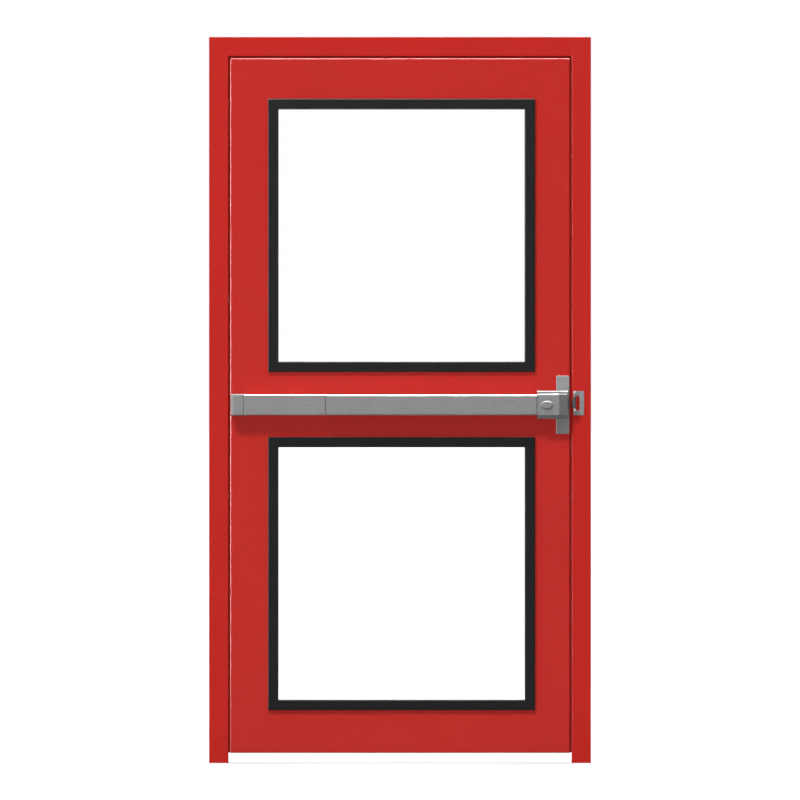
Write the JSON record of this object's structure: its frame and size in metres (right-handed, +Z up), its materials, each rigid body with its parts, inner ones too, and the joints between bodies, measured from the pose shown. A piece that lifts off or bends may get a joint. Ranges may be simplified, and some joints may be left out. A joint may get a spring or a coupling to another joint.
{
  "type": "single steel escape door with frame",
  "caption": "Red steel escape door in its frame, with two glazed panels and a push-pad latch, opening away from the pad.",
  "frame": {"origin": "on the hinge jamb's wall face, at floor level and at mid depth of the frame", "axes": "+X from the hinge jamb to the lock jamb, +Y from the push side to the pull side, +Z up"},
  "size_m": [1.105, 0.135, 2.1],
  "materials": {
    "frame_paint": "gloss red paint on steel",
    "leaf_paint": "gloss red paint on steel",
    "bead_black": "satin black",
    "clear_glass": "clear",
    "seal_rubber": "matt black",
    "hinge_steel": "satin",
    "satin_cover": "satin grey",
    "grey_plastic": "matt grey",
    "grey_case": "satin grey",
    "latch_steel": "dark satin",
    "strike_grey": "satin grey"
  },
  "bodies": {
    "frame": {"hinge_jamb": "frame_paint", "lock_jamb": "frame_paint", "head": "frame_paint", "hinge_jamb_seal": "seal_rubber", "lock_jamb_seal": "seal_rubber", "head_seal": "seal_rubber", "lower_hinge_frame_half": "hinge_steel", "middle_hinge_frame_half": "hinge_steel", "upper_hinge_frame_half": "hinge_steel", "strike_plate": "strike_grey", "strike_ramp": "latch_steel", "strike_roller": "latch_steel"},
    "leaf": {"hinge_stile": "leaf_paint", "lock_stile": "leaf_paint", "top_rail": "leaf_paint", "mid_rail": "leaf_paint", "bottom_rail": "leaf_paint", "upper_glass": "clear_glass", "lower_glass": "clear_glass", "upper_front_beads_across": "bead_black", "upper_front_beads_upright": "bead_black", "upper_back_beads_across": "bead_black", "upper_back_beads_upright": "bead_black", "lower_front_beads_across": "bead_black", "lower_front_beads_upright": "bead_black", "lower_back_beads_across": "bead_black", "lower_back_beads_upright": "bead_black", "lower_hinge_leaf_half": "hinge_steel", "middle_hinge_leaf_half": "hinge_steel", "upper_hinge_leaf_half": "hinge_steel", "rail_channel": "satin_cover", "rail_cover": "satin_cover", "rail_collar": "satin_cover", "end_cap": "grey_plastic", "mounting_plate": "grey_case", "chassis_base": "grey_case", "chassis_case": "grey_case", "chassis_cap": "grey_case", "latch_guide": "latch_steel"},
    "pad": {"push_pad": "satin_cover"},
    "latch": {"latch_bolt": "latch_steel"}
  },
  "joints": [
    {"name": "leaf_swing", "type": "hinge", "parent": "frame", "child": "leaf", "pos_m": [0.029, 0.037, 1.035], "axis": [0, 0, 1], "range_deg": [0, 110]},
    {"name": "pad_push", "type": "slide", "parent": "leaf", "child": "pad", "axis": [0, 1, 0], "range_m": [0, 0.012], "stiffness_N_per_m": 2500, "springref_m": -0.008},
    {"name": "latch_retract", "type": "slide", "parent": "leaf", "child": "latch", "axis": [-1, 0, 0], "range_m": [0, 0.012]}
  ],
  "couplings": [
    {"joint": "latch_retract", "follows": "pad_push", "ratio": 1}
  ]
}
